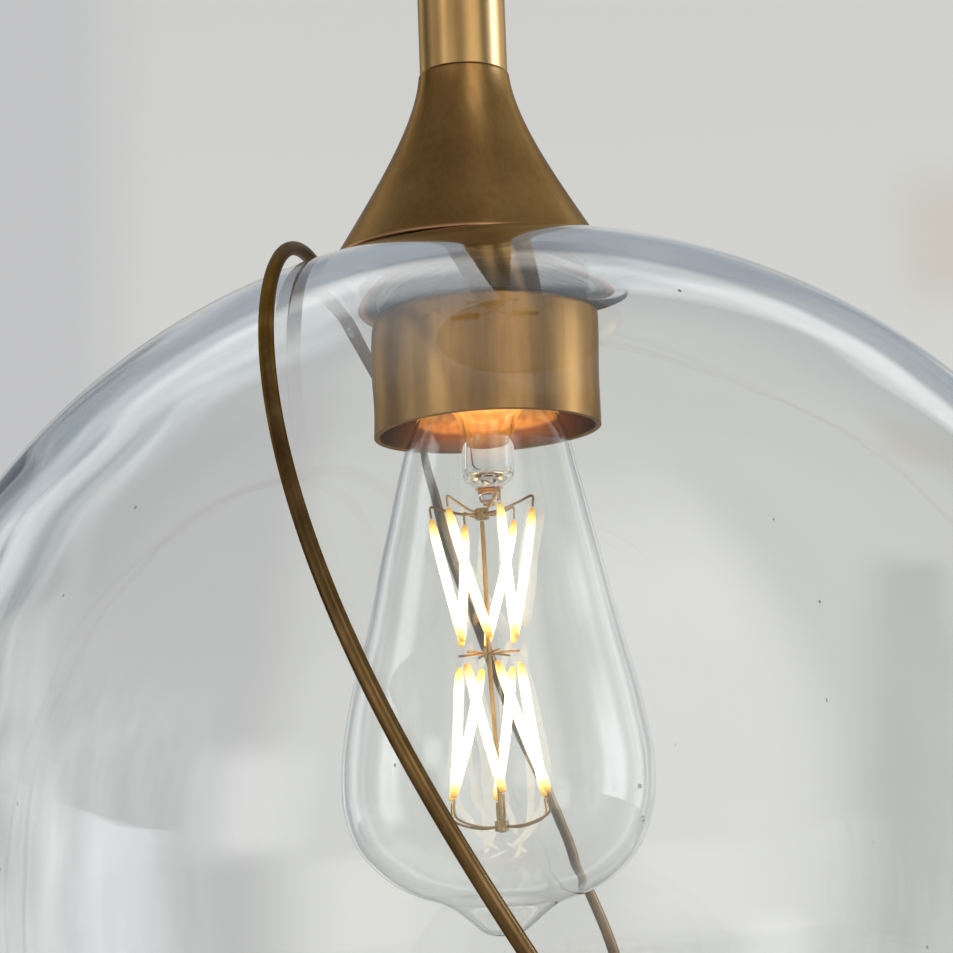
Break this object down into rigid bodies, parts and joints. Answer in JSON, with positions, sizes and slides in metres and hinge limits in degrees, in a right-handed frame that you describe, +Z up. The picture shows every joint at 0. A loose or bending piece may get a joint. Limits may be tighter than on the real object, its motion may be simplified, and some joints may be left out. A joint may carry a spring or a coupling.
{
  "type": "pendant ceiling light",
  "caption": "Clear blown-glass globe on a brass rod with a flared cap, a bent wire ring round the glass, a cup-shaped lamp holder and a pear-shaped filament bulb.",
  "frame": {"origin": "on the ceiling plane, at the middle of the canopy's open rim, where the light hangs from the ceiling", "axes": "+Z up towards the ceiling, +X along the crossbar, the picture looks along +Y and a little up"},
  "size_m": [0.2684, 0.2768, 0.5022],
  "materials": {
    "antique_brass": "satin",
    "bright_brass": "satin, brighter",
    "ring_bronze": "dark bronze, satin",
    "steel": "zinc plated",
    "lamp_base_metal": "nickel plated",
    "globe_glass": "clear, blown, with an uneven wall and small seeds",
    "bulb_glass": "clear",
    "filament": "lit",
    "support_wire": "fine wire",
    "porcelain": "glazed",
    "black_rubber": "matt",
    "clear_rubber": "clear",
    "black_insulator": "glossy",
    "wire_insulation": "matt",
    "wire_nut_plastic": "matt"
  },
  "bodies": {
    "ceiling_plate": {"canopy": "antique_brass", "crossbar": "steel", "box_screw_1": "steel", "box_screw_2": "steel", "canopy_stud_1": "steel", "canopy_stud_2": "steel", "cap_nut_1": "antique_brass", "cap_nut_2": "antique_brass", "wire_nut_1": "wire_nut_plastic", "wire_nut_2": "wire_nut_plastic", "canopy_lead_1": "wire_insulation", "canopy_lead_2": "wire_insulation"},
    "yoke": {"swivel_yoke": "antique_brass", "yoke_nut": "steel", "trunnion_screw_1": "antique_brass", "trunnion_screw_2": "antique_brass"},
    "fixture": {"rod_knuckle": "antique_brass", "rod": "bright_brass", "rod_bush": "steel", "nipple": "steel", "socket_lead_1": "wire_insulation", "socket_lead_2": "wire_insulation", "cap": "antique_brass", "nipple_nut": "steel", "hanger_strap": "steel", "seat_plate": "steel", "upper_gasket": "black_rubber", "hole_sleeve": "black_rubber", "lower_gasket": "black_rubber", "socket_cup": "antique_brass", "socket_ring": "black_insulator", "socket_body": "porcelain", "socket_shell": "bright_brass", "socket_contact": "bright_brass", "terminal_screw_1": "bright_brass", "terminal_screw_2": "bright_brass", "globe": "globe_glass"},
    "hoop": {"ring": "ring_bronze", "ring_sleeve": "ring_bronze", "ring_bumper": "clear_rubber"},
    "bulb": {"bulb_envelope": "bulb_glass", "bulb_glass_stem": "bulb_glass", "bulb_shell": "lamp_base_metal", "bulb_insulator": "black_insulator", "bulb_contact": "lamp_base_metal", "bulb_upper_supports": "support_wire", "bulb_lower_supports": "support_wire", "filament_upper_1": "filament", "filament_upper_2": "filament", "filament_upper_3": "filament", "filament_upper_4": "filament", "filament_upper_5": "filament", "filament_upper_6": "filament", "filament_lower_1": "filament", "filament_lower_2": "filament", "filament_lower_3": "filament", "filament_lower_4": "filament", "filament_lower_5": "filament", "filament_lower_6": "filament"}
  },
  "joints": [
    {"name": "canopy_swivel", "type": "hinge", "parent": "ceiling_plate", "child": "yoke", "pos_m": [0, 0, -0.024], "axis": [0, 0, 1], "range_deg": [-170, 170]},
    {"name": "rod_tilt", "type": "hinge", "parent": "yoke", "child": "fixture", "pos_m": [0, 0, -0.038], "axis": [1, 0, 0], "range_deg": [-45, 45]},
    {"name": "ring_turn", "type": "hinge", "parent": "fixture", "child": "hoop", "pos_m": [0.007, 0, -0.372], "axis": [0, 0, 1], "continuous": true},
    {"name": "bulb_out", "type": "slide", "parent": "fixture", "child": "bulb", "axis": [0, 0, -1], "range_m": [0, 0.03]}
  ]
}
